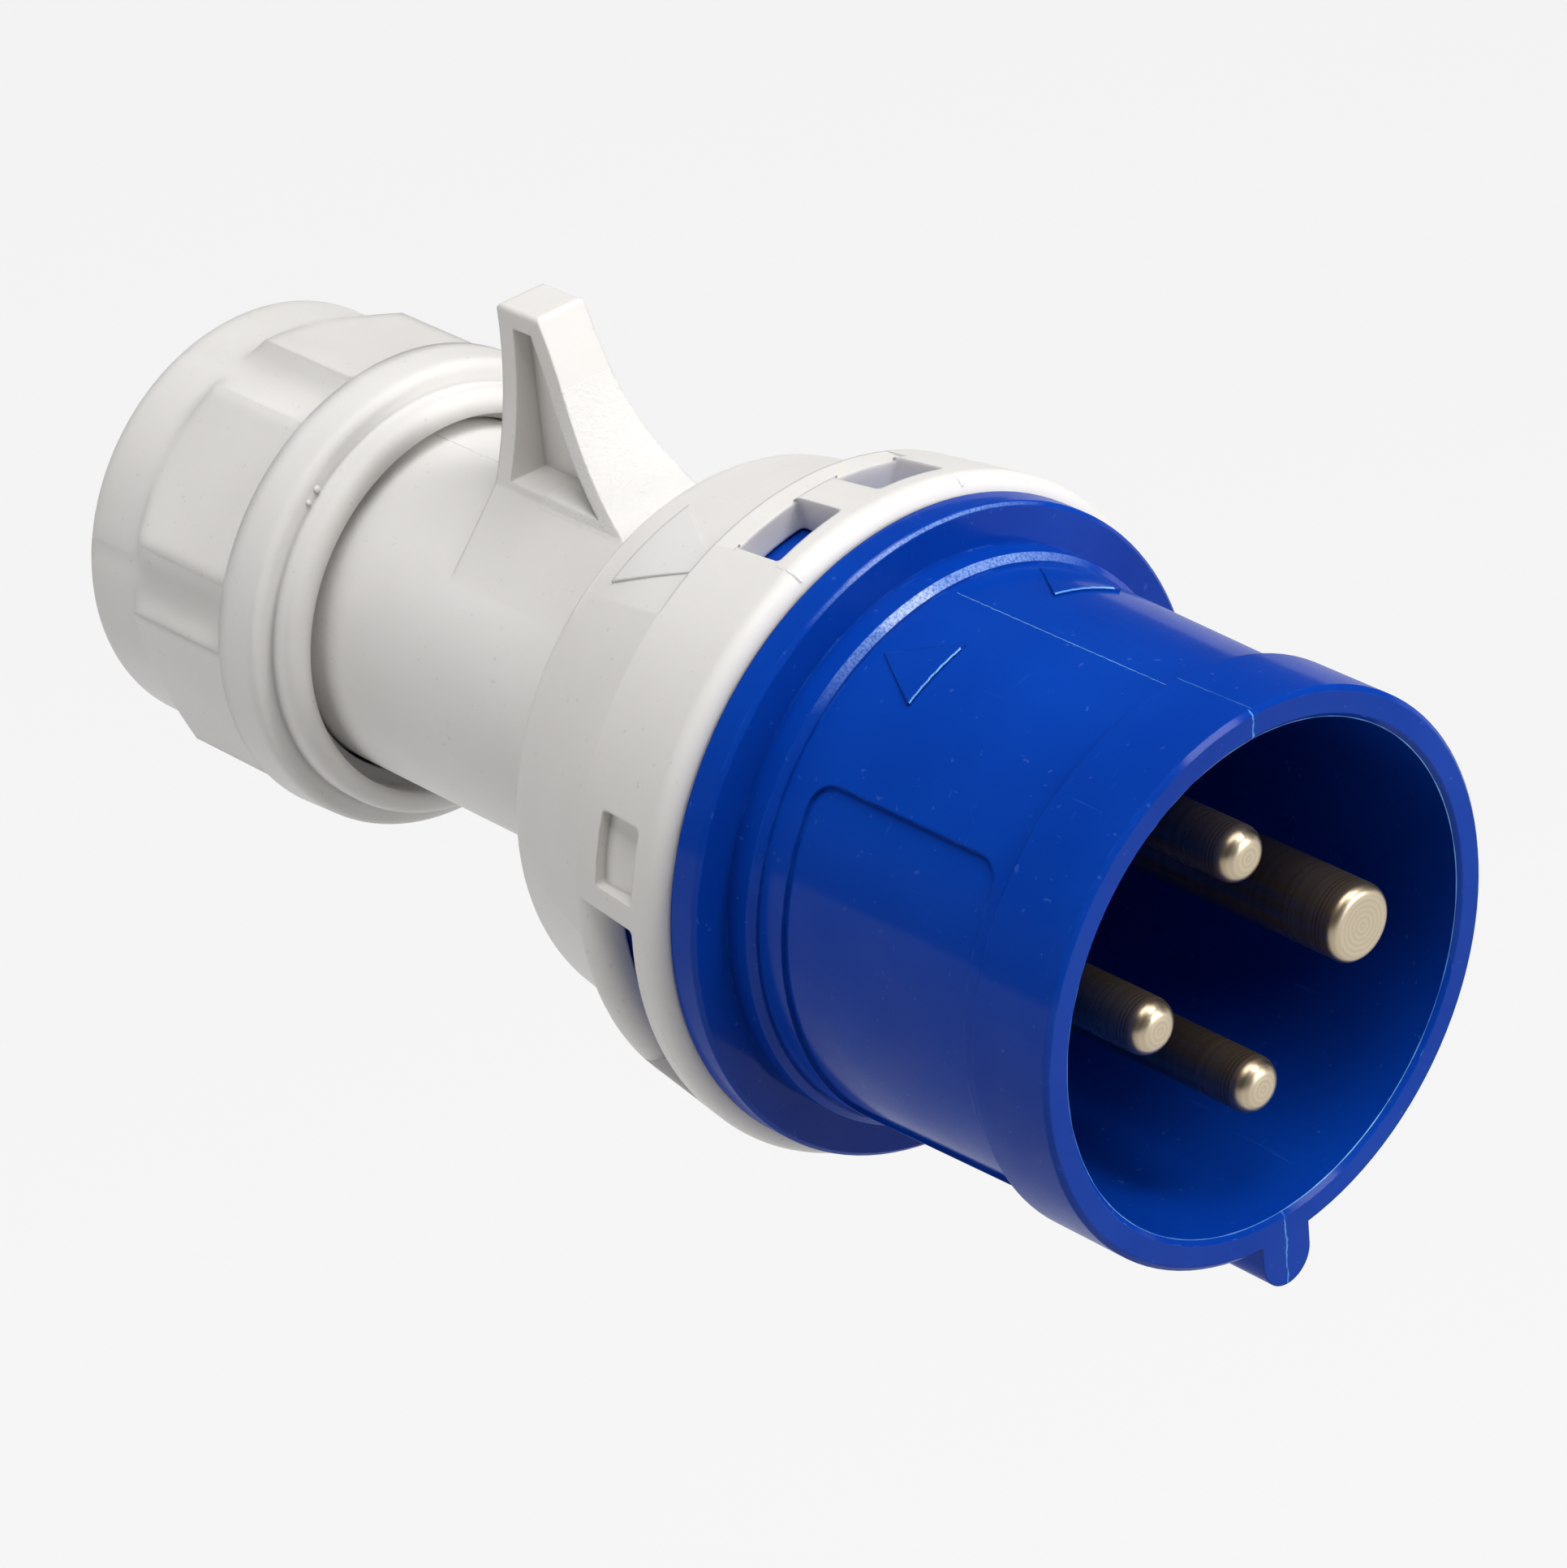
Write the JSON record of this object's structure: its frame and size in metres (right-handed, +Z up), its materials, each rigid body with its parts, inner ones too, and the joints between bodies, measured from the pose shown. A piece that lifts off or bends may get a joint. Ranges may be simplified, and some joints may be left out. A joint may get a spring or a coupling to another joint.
{
  "type": "three-phase industrial plug",
  "caption": "Blue and grey three-phase industrial plug with a keyed round shroud, earth and phase pins, twist-lock housing with a fin, and a cable gland.",
  "frame": {"origin": "centre of the shroud's rim, in the plane of its front edge, where the plug meets its socket", "axes": "+X along the plug's axis out of the shroud, +Z up along the fin, +Y to the earth pin"},
  "size_m": [0.1305, 0.061, 0.066],
  "materials": {
    "shroud_blue": "fine satin moulding",
    "housing_grey": "fine satin moulding",
    "contact": "nickel-plated, turned",
    "screw": "zinc-plated",
    "seal": "matt"
  },
  "bodies": {
    "insert": {"front_shroud": "shroud_blue", "phase_pin_1": "contact", "phase_pin_2": "contact", "phase_pin_3": "contact", "earth_pin": "contact", "terminal_screw_1": "screw", "terminal_screw_2": "screw", "terminal_screw_3": "screw", "terminal_screw_earth": "screw", "contact_retainer": "housing_grey", "retainer_screw_1": "screw", "retainer_screw_2": "screw", "flange_seal": "seal"},
    "housing": {"housing": "housing_grey", "cable_grommet": "seal", "clamp_cage": "housing_grey"},
    "nut": {"gland_nut": "housing_grey"}
  },
  "joints": [
    {"name": "twist_lock", "type": "hinge", "parent": "insert", "child": "housing", "pos_m": [-0.047, 0, 0], "axis": [1, 0, 0], "range_deg": [-42.5, 0]},
    {"name": "gland_nut_turn", "type": "hinge", "parent": "housing", "child": "nut", "pos_m": [-0.115, 0, 0], "axis": [-1, 0, 0], "range_deg": [0, 360]}
  ]
}
